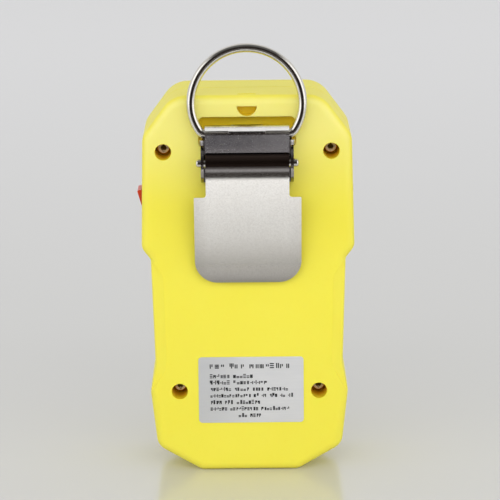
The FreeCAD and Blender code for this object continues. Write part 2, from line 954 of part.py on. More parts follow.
def clip_rivets():
    rivets = []
    for side in (-1, 1):
        x = side * rivet_x
        z = rivet_z
        outer = back_y + sheet
        top = outer + rivet_head_height
        shank = rod(rivet_r, (x, inner_back, z), (x, outer, z))
        head = rod(rivet_head_r, (x, outer, z), (x, top, z))
        head = head.makeFillet(rivet_head_height / 2, edges_in_plane_y(head, top))
        tail = rod(rivet_head_r, (x, inner_back - rivet_head_height, z), (x, inner_back, z))
        rivets.append(shank.fuse([head, tail]).removeSplitter())
    return rivets


def ring_lean():
    """How far the ring leans back when it rests on the case's top edge, in degrees."""
    across = ring_y - (back_y - back_edge_round)
    up = (body_height - back_edge_round) - ring_z
    stand_off = back_edge_round + ring_wire_r + ring_rest_gap
    reach = math.hypot(across, up)
    return math.degrees(math.acos(stand_off / reach) - math.atan2(up, across))


def d_ring():
    """A bar, two tight corners, two bowed legs and a round top, in one closed wire."""
    top_r = ring_half
    widest = ring_top_reach - top_r
    leg_in = ring_half - roll_half - ring_leg_gap
    leg_r = (leg_in ** 2 + widest ** 2) / (2 * leg_in)
    leg_x = ring_half - leg_r
    reach = leg_r - ring_corner_r
    corner_x = leg_x + math.sqrt(reach ** 2 - (widest - ring_corner_r) ** 2)
    outward = Vector(corner_x - leg_x, 0, ring_corner_r - widest).normalize()
    joint = Vector(leg_x, 0, widest) + outward * leg_r
    corner = Vector(corner_x, 0, ring_corner_r)
    corner_middle = corner + (outward + Vector(0, 0, -1)).normalize() * ring_corner_r
    leg_middle = Vector(leg_x, 0, widest) + (outward + Vector(1, 0, 0)).normalize() * leg_r
    bar_end = Vector(corner_x, 0, 0)
    wide = Vector(ring_half, 0, widest)
    top = Vector(0, 0, ring_top_reach)

    def mirrored(point):
        return Vector(-point.x, point.y, point.z)

    edges = [
        Part.LineSegment(mirrored(bar_end), bar_end).toShape(),
        Part.Arc(bar_end, corner_middle, joint).toShape(),
        Part.Arc(joint, leg_middle, wide).toShape(),
        Part.Arc(wide, top, mirrored(wide)).toShape(),
        Part.Arc(mirrored(wide), mirrored(leg_middle), mirrored(joint)).toShape(),
        Part.Arc(mirrored(joint), mirrored(corner_middle), mirrored(bar_end)).toShape(),
    ]
    path = Part.Wire(edges)
    section = Part.Wire(Part.makeCircle(ring_wire_r, Vector(0, 0, 0), Vector(1, 0, 0)))
    section.translate(mirrored(bar_end))
    ring = path.makePipeShell([section], True, False)
    ring.rotate(Vector(0, 0, 0), Vector(1, 0, 0), ring_lean())
    ring.translate(Vector(0, ring_y, ring_z))
    return ring


# ---- label ----------------------------------------------------------------------------
def rating_label():
    left = label_shift - label_width / 2
    top = label_bottom + label_height
    outer = back_y + label_thickness
    return rounded_plate(
        left, left + label_width, label_bottom, top, label_corner, back_y, outer
    )


# ---- rocker switch --------------------------------------------------------------------
def switch_housing():
    """The switch's frame and body, with a well for the rocker and three solder tabs."""
    face = side_x(side_z) - bezel_sink
    back = face - switch_depth
    seat = face - bezel_thickness
    bezel = side_box((seat, face), bezel_half_y, bezel_half_z)
    upright = [e for e in bezel.Edges if e.BoundBox.XLength > bezel_thickness / 2]
    bezel = bezel.makeFillet(bezel_corner, upright)
    body = side_box((back, seat), switch_half_y, switch_half_z)
    cavity = side_box(
        (face - switch_cavity_depth, face + past),
        rocker_half_y + rocker_side_gap,
        rocker_half_z + rocker_end_gap,
    )
    pivot = rocker_pivot()
    bore_r = rocker_pin_r + rocker_pin_fit
    near = (pivot.x, side_y - switch_half_y, pivot.z)
    far = (pivot.x, side_y + switch_half_y, pivot.z)
    body = bezel.fuse(body).cut([cavity, rod(bore_r, near, far)])
    return body.fuse(switch_tabs(back)).removeSplitter()


def switch_tabs(back):
    tabs = []
    for step in (-1, 0, 1):
        z = side_z + step * tab_pitch
        tabs.append(
            box(
                back - tab_length,
                back + tab_half_z,
                side_y - tab_half_y,
                side_y + tab_half_y,
                z - tab_half_z,
                z + tab_half_z,
            )
        )
    return tabs


def rocker_pivot():
    return Vector(side_x(side_z) - rocker_pivot_depth, side_y, side_z)


def switch_rocker():
    end_rise = rocker_centre_rise + rocker_half_z * math.tan(math.radians(rocker_vee))
    profile = [
        (rocker_centre_rise, 0.0, 0.0),
        (end_rise, rocker_half_z, rocker_tip_r),
        (end_rise - rocker_skirt, rocker_half_z, 0.0),
        (-rocker_underside, rocker_base_half_z, 0.0),
        (-rocker_underside, -rocker_base_half_z, 0.0),
        (end_rise - rocker_skirt, -rocker_half_z, 0.0),
        (end_rise, -rocker_half_z, rocker_tip_r),
    ]
    pivot = rocker_pivot()
    corners = [(pivot.x + u, pivot.z + w, r) for u, w, r in profile]
    body = prism_y(corners, side_y - rocker_half_y, side_y + rocker_half_y)
    reach = switch_half_y - rocker_pin_fit
    near = (pivot.x, side_y - reach, pivot.z)
    far = (pivot.x, side_y + reach, pivot.z)
    body = body.fuse(rod(rocker_pin_r, near, far))
    body.rotate(pivot, Vector(0, 1, 0), rocker_tilt)
    return body


# ---- charging socket and its cover ----------------------------------------------------
def charge_socket():
    mouth = -(side_x(side_z) - flap_thickness - 2 * pocket_clearance)
    end = mouth + socket_length
    back = end - socket_back
    shell = side_box((mouth, end), socket_half_y, socket_half_z)
    hollow = side_box(
        (mouth - past, back), socket_half_y - socket_wall, socket_half_z - socket_wall
    )
    tongue = side_box(
        (mouth + plug_length + flap_clearance, back + socket_tongue_embed),
        socket_tongue_half_y,
        socket_tongue_half_z,
    )
    return shell.cut(hollow).fuse(tongue).removeSplitter()


def socket_cover():
    face = -side_x(side_z)
    inner = face + flap_thickness
    lid = side_box((face, inner), flap_half_y, flap_half_z)
    upright = [e for e in lid.Edges if e.BoundBox.XLength > flap_thickness / 2]
    lid = lid.makeFillet(flap_corner, upright)
    plug = side_box((inner, inner + plug_length), plug_half_y, plug_half_z)
    x = face - nail_out
    z = side_z + flap_half_z - nail_inset
    nail = rod(nail_r, (x, side_y - nail_half, z), (x, side_y + nail_half, z))
    return lid.fuse(plug).cut(nail).removeSplitter()


# ---- front: plate, window, display, keys ----------------------------------------------
def face_plate():
    plate = rounded_plate(*face_plate_corners(0.0), front_y, front_y + plate_thickness)
    cuts = [window_pane(-window_lip, front_y - wall, front_y + wall)]
    cuts += [
        rod(key_r + key_gap, (x, front_y - wall, z), (x, front_y + wall, z))
        for x, z in key_places()
    ]
    return plate.cut(cuts)


def window_pane(margin, y0, y1):
    half = window_half + margin
    low = window_low - margin
    high = window_high + margin
    return rounded_plate(-half, half, low, high, window_corner, y0, y1)


def lcd_window():
    y = front_y + plate_thickness
    return window_pane(0.0, y, y + window_thickness)


def lcd_module():
    y0 = inner_front + lcd_gap
    half = window_half + lcd_border_x
    low = window_low - lcd_border_z
    high = window_high + lcd_border_z
    view_half = window_half - lcd_view_inset
    view = box(
        -view_half,
        view_half,
        y0 - past,
        y0 + lcd_view_depth,
        window_low + lcd_view_inset,
        window_high - lcd_view_inset,
    )
    return box(-half, half, y0, board_y, low, high).cut(view)


def key_button(x, z):
    tip = front_y - key_proud
    flange_y = inner_front + lcd_gap
    cap = rod(key_r, (x, tip, z), (x, flange_y, z))
    cap = cap.makeFillet(key_edge, edges_in_plane_y(cap, tip))
    flange = rod(key_r + key_flange, (x, flange_y, z), (x, flange_y + key_flange_thickness, z))
    stem_end = dome_top() - key_travel - key_over_travel
    stem = rod(key_stem_r, (x, flange_y, z), (x, stem_end, z))
    return cap.fuse([flange, stem]).removeSplitter()


def dome_top():
    return board_y - mat_thickness - dome_height


def keypad_mat():
    low = key_z - mat_half_z
    high = key_z + mat_half_z
    front = board_y - mat_thickness
    mat = rounded_plate(-mat_half, mat_half, low, high, mat_corner, front, board_y)
    domes = [rod(dome_r, (x, dome_top(), z), (x, board_y, z)) for x, z in key_places()]
    return mat.fuse(domes).removeSplitter()


# ---- gas sensor -----------------------------------------------------------------------
def sensor_cap():
    tip = front_y - sensor_cap_proud
    rim = rod(sensor_cap_r, (0, tip, sensor_z), (0, front_y, sensor_z))
    rim = rim.makeFillet(sensor_cap_edge, edges_in_plane_y(rim, tip))
    neck = rod(sensor_neck_r, (0, front_y, sensor_z), (0, inner_front, sensor_z))
    bore_r = sensor_r + sensor_bore_clearance
    bore_y = tip + sensor_cap_face
    bore = rod(bore_r, (0, bore_y, sensor_z), (0, inner_front + wall, sensor_z))
    return rim.fuse(neck).cut([bore] + vents(tip)).removeSplitter()


def vents(tip):
    holes = []
    for radius, count in vent_rings:
        for step in range(count):
            angle = 2 * math.pi * step / count
            x = radius * math.cos(angle)
            z = sensor_z + radius * math.sin(angle)
            holes.append(rod(vent_r, (x, tip - past, z), (x, tip + wall, z)))
    return holes


def sensor_filter():
    y = filter_front()
    radius = sensor_r - filter_clearance
    return rod(radius, (0, y, sensor_z), (0, y + filter_thickness, sensor_z))


def filter_front():
    return front_y - sensor_cap_proud + sensor_cap_face


def sensor_gasket():
    y = filter_front() + filter_thickness + gasket_wire_r
    return Part.makeTorus(gasket_r, gasket_wire_r, Vector(0, y, sensor_z), Vector(0, 1, 0))


def sensor_front():
    return filter_front() + filter_thickness + 2 * gasket_wire_r


def gas_sensor():
    front = sensor_front()
    back = front + sensor_length
    can = rod(sensor_r, (0, front, sensor_z), (0, back, sensor_z))
    can = can.makeFillet(sensor_edge, edges_in_plane_y(can, front))
    inlet = rod(inlet_r, (0, front - past, sensor_z), (0, front + inlet_depth, sensor_z))
    pins = [
        rod(contact_pin_r, (x, back, z), (x, back + contact_pin_length, z))
        for x, z in contact_places()
    ]
    return can.cut(inlet).fuse(pins).removeSplitter()


def contact_places():
    places = []
    for angle in contact_pin_angles:
        turn = math.radians(angle)
        x = contact_pin_circle * math.cos(turn)
        places.append((x, sensor_z + contact_pin_circle * math.sin(turn)))
    return places


def sensor_board():
    front = sensor_front() + sensor_length + sensor_board_gap
    back = front + sensor_board_thickness
    disc = rod(sensor_r - sensor_board_inset, (0, front, sensor_z), (0, back, sensor_z))
    hole_r = contact_pin_r + contact_pin_fit
    holes = [rod(hole_r, (x, front - past, z), (x, back + past, z)) for x, z in contact_places()]
    return disc.cut(holes)


# ---- alarm lights ---------------------------------------------------------------------
def alarm_lenses():
    lens = lens_shape(0.0, front_y - lens_proud, inner_front + lens_tail)
    return both_sides(lens)


def alarm_leds():
    z = body_height - lens_drop
    x = (board_arm_inner + board_arm_outer) / 2
    lamp = rod(led_r, (x, board_y - led_height, z), (x, board_y, z))
    lamp = lamp.makeFillet(led_dome_r, edges_in_plane_y(lamp, board_y - led_height))
    return both_sides(lamp)


# ---- boards, battery, sounder, vibrator -----------------------------------------------
def main_board():
    half = waist_half - wall - board_side_gap
    top = sensor_z - sensor_r - board_sensor_gap
    board = rounded_plate(-half, half, board_low, top, board_corner, board_y, board_back)
    arm_low = top - board_arm_overlap
    arm_top = body_height - board_arm_top_drop
    arm = box(board_arm_inner, board_arm_outer, board_y, board_back, arm_low, arm_top)
    board = board.fuse(both_sides(arm))
    front = board_y - past
    back = board_back + past
    cuts = [rod(boss_r + boss_clearance, (x, front, z), (x, back, z)) for x, z in screw_places]
    cuts += [rod(post_hole_r + post_fit, (x, front, z), (x, back, z)) for x, z in post_places()]
    notch_top = foot_height + board_foot_notch
    notch = box(half - board_foot_notch, half_width, front, back, 0, notch_top)
    cuts += both_sides(notch)
    return board.cut(cuts).removeSplitter()


def board_chips():
    chips = []
    for x, z, wide, tall, high in chip_places:
        x0 = x - wide / 2
        z0 = z - tall / 2
        chips.append(box(x0, x0 + wide, board_back, board_back + high, z0, z0 + tall))
    return chips


def board_screws():
    screws = []
    end = board_back - board_screw_length
    top = board_back + board_screw_head
    for x, z in post_places():
        shank = rod(post_hole_r - post_fit, (x, end, z), (x, board_back, z))
        head = rod(board_screw_head_r, (x, board_back, z), (x, top, z))
        slot = box(
            x - board_slot_half,
            x + board_slot_half,
            top - board_screw_head / 2,
            top + past,
            z - board_slot_half_width,
            z + board_slot_half_width,
        )
        screws.append(shank.fuse(head).cut(slot).removeSplitter())
    return screws


def battery_cell():
    back = inner_back - pad_thickness
    front = back - battery_thickness
    cell = box(-battery_half, battery_half, front, back, battery_low, battery_high)
    upright = [e for e in cell.Edges if e.BoundBox.ZLength > battery_thickness]
    return cell.makeFillet(battery_edge, upright)


def battery_pad():
    half = battery_half - pad_inset
    low = battery_low + pad_inset
    return box(-half, half, inner_back - pad_thickness, inner_back, low, battery_high - pad_inset)


def buzzer():
    front = board_y - buzzer_height
    can = rod(buzzer_r, (0, front, buzzer_z), (0, board_y, buzzer_z))
    port_end = front + buzzer_port_depth
    return can.cut(rod(buzzer_port_r, (0, front - past, buzzer_z), (0, port_end, buzzer_z)))


def vibration_motor():
    can = rod(motor_r, (-motor_half, motor_y, motor_z), (motor_half, motor_y, motor_z))
    can = can.makeFillet(motor_edge, end_circles(can))
    half = motor_half - motor_foot_inset
    foot = box(
        -half, half, board_back, motor_y, motor_z - motor_r / 2, motor_z + motor_r / 2
    )
    shaft_end = motor_half + weight_gap + weight_thickness
    shaft = rod(motor_shaft_r, (half, motor_y, motor_z), (shaft_end, motor_y, motor_z))
    return can.fuse([foot, shaft]).removeSplitter()


def motor_weight():
    x0 = motor_half + weight_gap
    x1 = x0 + weight_thickness
    disc = rod(weight_r, (x0, motor_y, motor_z), (x1, motor_y, motor_z))
    reach = 2 * weight_r
    light_side = box(
        x0 - past,
        x1 + past,
        motor_y - reach,
        motor_y + reach,
        motor_z + weight_flat,
        motor_z + reach,
    )
    bore_r = motor_shaft_r + motor_shaft_fit
    bore = rod(bore_r, (x0 - past, motor_y, motor_z), (x1 + past, motor_y, motor_z))
    return disc.cut([light_side, bore])


def build():
    os.makedirs("parts", exist_ok=True)
    save("rear_shell", rear_shell())
    save("front_shell", front_shell())
    save("case_seal", case_seal())
    save("case_screws", case_screws())
    save("screw_inserts", screw_inserts())
    save("clip_base", clip_base())
    save("clip_lever", clip_lever())
    save("clip_pin", clip_pin())
    save("clip_spring", clip_spring())
    save("clip_rivets", clip_rivets())
    save("d_ring", d_ring())
    save("rating_label", rating_label())
    save("switch_housing", switch_housing())
    save("switch_rocker", switch_rocker())
    save("charge_socket", charge_socket())
    save("socket_cover", socket_cover())
    save("face_plate", face_plate())
    save("lcd_window", lcd_window())
    save("lcd_module", lcd_module())
    for name, (x, z) in zip(("key_left", "key_middle", "key_right"), key_places()):
        save(name, key_button(x, z))
    save("keypad_mat", keypad_mat())
    save("sensor_cap", sensor_cap())
    save("sensor_filter", sensor_filter())
    save("sensor_gasket", sensor_gasket())
    save("gas_sensor", gas_sensor())
    save("sensor_board", sensor_board())
    save("alarm_lenses", alarm_lenses())
    save("alarm_leds", alarm_leds())
    save("main_board", main_board())
    save("board_chips", board_chips())
    save("board_screws", board_screws())
    save("battery_cell", battery_cell())
    save("battery_pad", battery_pad())
    save("buzzer", buzzer())
    save("vibration_motor", vibration_motor())
    save("motor_weight", motor_weight())


build()
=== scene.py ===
import math
import random

import bmesh
import bpy
from mathutils import Matrix, Vector


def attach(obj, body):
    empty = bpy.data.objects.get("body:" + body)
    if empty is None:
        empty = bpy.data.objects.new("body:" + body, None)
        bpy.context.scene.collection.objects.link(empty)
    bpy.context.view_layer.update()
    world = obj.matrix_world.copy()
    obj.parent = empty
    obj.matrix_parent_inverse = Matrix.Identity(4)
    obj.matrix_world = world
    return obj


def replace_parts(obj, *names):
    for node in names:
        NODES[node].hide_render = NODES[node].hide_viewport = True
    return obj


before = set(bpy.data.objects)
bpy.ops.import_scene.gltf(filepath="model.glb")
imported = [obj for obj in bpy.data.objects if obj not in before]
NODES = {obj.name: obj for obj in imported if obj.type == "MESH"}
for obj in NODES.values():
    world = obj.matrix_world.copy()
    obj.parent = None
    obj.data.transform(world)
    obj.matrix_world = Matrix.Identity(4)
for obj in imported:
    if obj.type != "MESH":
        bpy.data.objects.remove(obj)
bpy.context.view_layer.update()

MM = 0.001

# the stage, in metres: where the lights point, and the board that the object stands on
MIDDLE = Vector((0.0, 0.0, 0.06))
FLOOR_FRONT = 0.187
FLOOR_HALF_WIDTH = 2.5
FLOOR_HALF_DEPTH = 1.9

# ---- sizes shared with the CAD model, in millimetres ----------------------------------
SCREW_PLACES = ((23.5, 93.3), (19.85, 23.8))
WELL_RADIUS = 2.36
PIN_Y = 19.4
PIN_Z = 90.9
LEVER_LEAN = 10.5
SPRING_WIRE_R = 0.24
SPRING_COIL_R = 1.52
SPRING_PITCH = 0.56
SPRING_TURNS = 5
SPRING_INNER_END = 3.0
SPRING_LEG = 7.0
SPRING_BACK_ANGLE = 14.0
LABEL_LEFT = 14.45
LABEL_TOP = 33.9
LABEL_FACE = 15.15
DISPLAY_FACE = -12.25
KEY_FACE = -15.90
KEY_HEIGHT = 40.0
KEY_SPACING = 14.0

# ---- sizes of what is added here, in millimetres --------------------------------------
LABEL_INK_LIFT = 0.02
DISPLAY_INK_LIFT = 0.05
INK_THICKNESS = 0.015
SIGN_RISE = 0.12
DOT_RADIUS = 1.5
ARROW_UP = ((-1.7, -1.1), (0.0, 1.6), (1.7, -1.1))
STROKE_GAP = 0.1
DIGIT_LOW = 56.2
DIGIT_WIDTH = 5.2
DIGIT_HEIGHT = 9.6
BAR_SHARE = 0.2
BAR_GAP = 0.08
TIP_ROUND = 0.1
WIRE_SIDES = 12
COIL_STEPS = 28
EDGE_WIDTHS = {"clip_lever": 0.16, "clip_base": 0.12, "switch_rocker": 0.25,
               "socket_cover": 0.25, "face_plate": 0.12}
EDGE_ANGLE = 50.0

# the label's printing: start from the left edge, drop from the top edge, height and width
# in millimetres, and how many letters each word has
PRINT_ROWS = (
    (3.2, 1.85, 1.5, 22.9, (3, 3, 8)),
    (3.2, 5.0, 1.2, 12.4, (6, 6)),
    (3.2, 6.85, 1.2, 16.4, (6, 10)),
    (3.3, 8.8, 1.2, 22.3, (7, 5, 4, 7)),
    (3.3, 10.7, 1.2, 23.7, (15, 2, 2, 3, 2, 2)),
    (3.3, 12.7, 1.2, 14.3, (4, 3, 8)),
    (3.3, 14.6, 1.2, 22.6, (6, 10, 10)),
    (11.3, 16.6, 1.2, 6.7, (3, 4)),
)
# a mark's width and the gap between words as shares of a letter, its stroke and its possible
# tops as shares of the row's height, and how far and how often an upright's foot is raised
MARK_WIDTH = 0.8
WORD_GAP = 0.9
STROKE = 0.21
MARK_TOPS = (0.78, 0.78, 0.84, 1.0)
RAISED_FOOT = 0.34
RAISED_SHARE = 0.25
# where a mark's upright and level strokes stand, across and up its cell
PRINT_PATTERNS = (((0.0, 0.5, 1.0), ()), ((0.0, 0.6), ()), ((), (0.0, 0.5, 1.0)),
                  ((1.0,), (0.5,)), ((0.4, 1.0), ()), ((), (0.0, 0.5)))

# what a shiny surface that faces the camera sees, from below (0) through the level (0.375)
# to above (1)
ROOM_FROM_LOW_TO_HIGH = (
    (0.205, (0.035, 0.03, 0.027, 1.0)),
    (0.228, (0.33, 0.32, 0.325, 1.0)),
    (0.258, (0.33, 0.32, 0.325, 1.0)),
    (0.29, (0.035, 0.028, 0.025, 1.0)),
    (0.39, (0.022, 0.014, 0.011, 1.0)),
    (0.72, (0.03, 0.025, 0.022, 1.0)),
    (0.97, (0.18, 0.18, 0.18, 1.0)),
)
TENT_SIDES = (0.85, 0.85, 0.85, 1.0)
TENT_BACK = (0.80, 0.80, 0.80, 1.0)
BACKDROP = (0.74, 0.74, 0.76, 1.0)


def srgb(red, green, blue):
    """A colour given in 0 to 255 display values, as the linear colour that shaders use."""
    def linear(value):
        value /= 255.0
        return value / 12.92 if value <= 0.04045 else ((value + 0.055) / 1.055) ** 2.4
    return (linear(red), linear(green), linear(blue), 1.0)


# ---- shader maths ---------------------------------------------------------------------
class Field:
    """A number that varies over a surface. Arithmetic on it adds Math nodes."""

    def __init__(self, nodes, socket):
        self.nodes = nodes
        self.socket = socket

    def maths(self, operation, *others):
        values = dict(enumerate([self, *others]))
        made = self.nodes.node("ShaderNodeMath", {"operation": operation}, values)
        return Field(self.nodes, made.outputs[0])

    def __add__(self, other):
        return self.maths("ADD", other)

    __radd__ = __add__

    def __sub__(self, other):
        return self.maths("SUBTRACT", other)

    def __rsub__(self, other):
        return (self * -1.0) + other

    def __mul__(self, other):
        return self.maths("MULTIPLY", other)

    __rmul__ = __mul__

    def __pow__(self, other):
        return self.maths("POWER", other)

    def __gt__(self, other):
        return self.maths("GREATER_THAN", other)

    def __lt__(self, other):
        return self.maths("LESS_THAN", other)

    def size(self):
        return self.maths("ABSOLUTE")

    def fade(self, low, high, change="SMOOTHSTEP"):
        """0 at low, 1 at high and between them a smooth change, or an even one for LINEAR."""
        values = {0: self, 1: low, 2: high}
        made = self.nodes.node("ShaderNodeMapRange", {"interpolation_type": change}, values)
        return Field(self.nodes, made.outputs[0])


class Nodes:
    """A node tree whose patterns lie along one of the coordinates that Blender gives."""

    def __init__(self, tree, coordinates):
        self.tree = tree
        self.place = self.node("ShaderNodeTexCoord").outputs[coordinates]

    def node(self, kind, settings=None, values=None):
        """Adds a node; values holds numbers, Fields or other nodes' outputs for its inputs."""
        made = self.tree.nodes.new(kind)
        for setting, value in (settings or {}).items():
            if setting == "stops":
                self.set_stops(made.color_ramp.elements, value)
            else:
                setattr(made, setting, value)
        for socket, value in (values or {}).items():
            if isinstance(value, Field):
                value = value.socket
            if isinstance(value, bpy.types.NodeSocket):
                self.tree.links.new(value, made.inputs[socket])
            else:
                made.inputs[socket].default_value = value
        return made

    @staticmethod
    def set_stops(elements, stops):
        while len(elements) < len(stops):
            elements.new(0.5)
        for element, (position, colour) in zip(elements, stops):
            element.position = position
            element.color = colour

    def axes(self):
        """The parts of the place along X, Y and Z, which are in metres on the object."""
        parts = self.node("ShaderNodeSeparateXYZ", values={0: self.place})
        return [Field(self, output) for output in parts.outputs]

    def mix(self, factor, first, second):
        """A colour between first and second."""
        node = self.node("ShaderNodeMix", {"data_type": "RGBA"}, {0: factor, 6: first, 7: second})
        return node.outputs[2]


class Finish(Nodes):
    """One material: its constants on the shader, and the nodes that vary over the surface."""

    def __init__(self, name, **constants):
        self.material = bpy.data.materials.new(name)
        self.material.use_nodes = True
        super().__init__(self.material.node_tree, "Object")
        self.shader = self.tree.nodes["Principled BSDF"]
        for socket, value in constants.items():
            self.shader.inputs[socket.replace("_", " ")].default_value = value

    def in_grains(self, grain, stretch):
        """The place counted in grains; a stretch below 1 draws the features out that way."""
        values = {0: self.place, "Scale": tuple(part / grain for part in stretch)}
        return self.node("ShaderNodeMapping", {"vector_type": "POINT"}, values).outputs[0]

    def noise(self, grain, detail=2.0, rough=0.5, stretch=(1.0, 1.0, 1.0)):
        """Cloudy noise from 0 to 1 with features about grain metres across."""
        values = {"Vector": self.in_grains(grain, stretch), "Scale": 1.0,
                  "Detail": detail, "Roughness": rough}
        return Field(self, self.node("ShaderNodeTexNoise", None, values).outputs[0])

    def cells(self, grain, feature="F1"):
        """Distances in a pattern of cells about grain metres across."""
        values = {"Vector": self.in_grains(grain, (1.0, 1.0, 1.0)), "Scale": 1.0}
        made = self.node("ShaderNodeTexVoronoi", {"feature": feature}, values)
        return Field(self, made.outputs[0])

    def set(self, **sockets):
        """Links each value to the shader's input of that name."""
        for name, value in sockets.items():
            if isinstance(value, Field):
                value = value.socket
            self.tree.links.new(value, self.shader.inputs[name.replace("_", " ")])
        return self

    def bump(self, height, depth):
        """Raises the surface by height, from 0 to 1, times depth in metres."""
        values = {"Height": height, "Distance": depth, "Strength": 1.0}
        return self.set(Normal=self.node("ShaderNodeBump", None, values).outputs[0])


# ---- finishes -------------------------------------------------------------------------
def reach_from_screws(across, height):
    """How far a place is from the axis of the nearest case screw."""
    reaches = [((across.size() - x * MM) ** 2.0 + (height - z * MM) ** 2.0) ** 0.5
               for x, z in SCREW_PLACES]
    return reaches[0].maths("MINIMUM", reaches[1])


def moulded_yellow():
    """Bright yellow moulded plastic with a fine spark-eroded texture and a few faint rubs.

    It is paler high on the back with a painted sheen, and deeper amber with painted shade in the
    clip's seat and the screw wells.
    """
    finish = Finish("moulded_yellow", IOR=1.5, Subsurface_Weight=0.12,
                    Subsurface_Radius=(0.9, 0.6, 0.1), Subsurface_Scale=0.0012)
    across, depth, height = finish.axes()
    cloud = finish.noise(18 * MM, 3.0)
    speck = finish.noise(0.9 * MM, 2.0)
    grain = finish.noise(0.22 * MM, 3.0, 0.6)
    rub = finish.noise(3.0 * MM, 4.0, 0.6, (1.0, 1.0, 0.16)).fade(0.62, 0.78)
    base = finish.mix(cloud, srgb(248, 235, 70), srgb(251, 240, 82))
    base = finish.mix(speck.fade(0.55, 0.9) * 0.25, base, srgb(244, 226, 52))
    # painted sheen: the upper part of the back face is paled
    painted_sheen = height.fade(74 * MM, 104 * MM) * depth.fade(13.6 * MM, 14.9 * MM) * (0.6 + cloud * 0.5)
    base = finish.mix(painted_sheen * 0.5, base, srgb(253, 247, 178))
    # painted shade: the clip's seat is tinted deep amber
    seat = (across.size() < 16.5 * MM) * (height > 88 * MM) * (height < 106 * MM)
    seat = seat * (depth > 5 * MM) * depth.fade(14.9 * MM, 14.3 * MM)
    base = finish.mix(seat * 0.6, base, srgb(247, 208, 18))
    # light turns amber between the walls of the deep screw wells
    well = (reach_from_screws(across, height) < WELL_RADIUS * MM) * (depth > 7.5 * MM)
    deep = finish.mix(depth.fade(14.8 * MM, 9.5 * MM), srgb(252, 232, 50), srgb(240, 190, 22))
    base = finish.mix(well, base, deep)
    finish.set(Base_Color=base, Roughness=0.38 + cloud * 0.05 + grain * 0.08 - rub * 0.06)
    return finish.bump(grain * 0.8 + speck * 0.2, 0.012 * MM).material


def satin_steel():
    """The lever's tumbled stainless sheet, with an even fine grain.

    It is greyer with painted shade at its sides and its lower end, and dark with painted shade
    where it curls on the pin.
    """
    finish = Finish("satin_steel", Metallic=1.0)
    across, _, height = finish.axes()
    grain = finish.noise(0.42 * MM, 3.0, 0.65)
    fine = finish.noise(0.15 * MM, 2.0, 0.6)
    cloud = finish.noise(7 * MM, 3.0)
    spot = finish.noise(1.1 * MM, 4.0, 0.65).fade(0.63, 0.72)
    # painted shade: greyer at the sides, most on the +X side, and towards the lower end
    side = across.size().fade(10.5 * MM, 14.9 * MM) * (0.62 + across * 20.0)
    low = height.fade(71 * MM, 58 * MM)
    base = finish.mix(cloud, srgb(244, 241, 237), srgb(250, 248, 245))
    base = finish.mix(grain.fade(0.35, 0.7) * 0.45, base, srgb(214, 210, 205))
    base = finish.mix(spot * 0.2 + side * 0.3, base, srgb(190, 186, 180))
    base = finish.mix(low * 0.5, base, srgb(150, 144, 134))
    # painted shade: dark where the lever curls on the pin
    curl_shade = height.fade(89.9 * MM, 90.6 * MM)
    base = finish.mix(curl_shade, base, srgb(84, 70, 63))
    finish.set(Base_Color=base,
               Roughness=0.08 + fine * 0.07 + grain * 0.03 + curl_shade * 0.18 + low * 0.17)
    return finish.bump(grain * 0.7 + fine * 0.3, 0.004 * MM).material


def scuffed_steel():
    """The clip's plate: shinier sheet, mottled and lightly scuffed, with a few scratches.

    Its lugs are darker with painted shade, the crest of its rolled top is pale with a painted
    highlight, and painted reflections lighten its lower part and its -X side.
    """
    finish = Finish("scuffed_steel", Metallic=1.0)
    across, _, height = finish.axes()
    mottle = finish.noise(0.8 * MM, 4.0, 0.7).fade(0.25, 0.75)
    stain = finish.noise(3.4 * MM, 4.0, 0.6).fade(0.36, 0.66)
    speck = finish.noise(0.45 * MM, 3.0, 0.7).fade(0.60, 0.70)
    slant = finish.noise(2.2 * MM, 2.0, 0.5, (0.45, 1.0, 1.6))
    scratch = ((slant - 0.5).size() < 0.006) * stain
    base = finish.mix(mottle, srgb(186, 185, 190), srgb(232, 230, 232))
    base = finish.mix(stain * 0.55, base, srgb(150, 149, 156))
    # painted reflections: lighter towards the plate's lower edge and towards its -X side
    base = finish.mix(height.fade(96.6 * MM, 94.0 * MM) * 0.7, base, srgb(245, 241, 243))
    base = finish.mix(across.fade(1 * MM, -10 * MM) * 0.65, base, srgb(250, 248, 250))
    base = finish.mix(speck * 0.5 + scratch * 0.5, base, srgb(236, 234, 232))
    # painted shade: the lugs are darkened
    lug = across.size().fade(11.5 * MM, 11.8 * MM) * height.fade(97.5 * MM, 96.5 * MM)
    base = finish.mix(lug * 0.6, base, srgb(98, 88, 76))
    # painted highlight: the crest of the rolled top is pale and less metallic
    crest = height.fade(99.75 * MM, 100.05 * MM) * height.fade(101.0 * MM, 100.6 * MM)
    base = finish.mix(crest, base, srgb(250, 249, 247))
    finish.set(Base_Color=base, Metallic=1.0 - crest * 0.75,
               Roughness=0.15 + mottle * 0.12 + speck * 0.2 + crest * 0.2)
    return finish.bump(mottle * 0.6 + speck * 0.4 - scratch, 0.006 * MM).material


def bright_wire():
    """Polished steel wire with light drawing marks."""
    finish = Finish("bright_wire", Metallic=1.0)
    cloud = finish.noise(2.5 * MM, 3.0)
    pits = finish.noise(0.25 * MM, 3.0, 0.7)
    base = finish.mix(cloud, srgb(206, 202, 194), srgb(226, 223, 217))
    finish.set(Base_Color=base, Roughness=0.10 + pits * 0.08 + cloud * 0.04)
    return finish.bump(pits, 0.003 * MM).material


def turned_metal(name, first, second, roughness):
    """Turned or drawn small metal parts, with fine marks."""
    finish = Finish(name, Metallic=1.0)
    marks = finish.noise(0.3 * MM, 3.0, 0.6)
    cloud = finish.noise(1.5 * MM, 3.0)
    finish.set(Base_Color=finish.mix(cloud, first, second), Roughness=roughness + marks * 0.15)
    return finish.bump(marks, 0.004 * MM).material


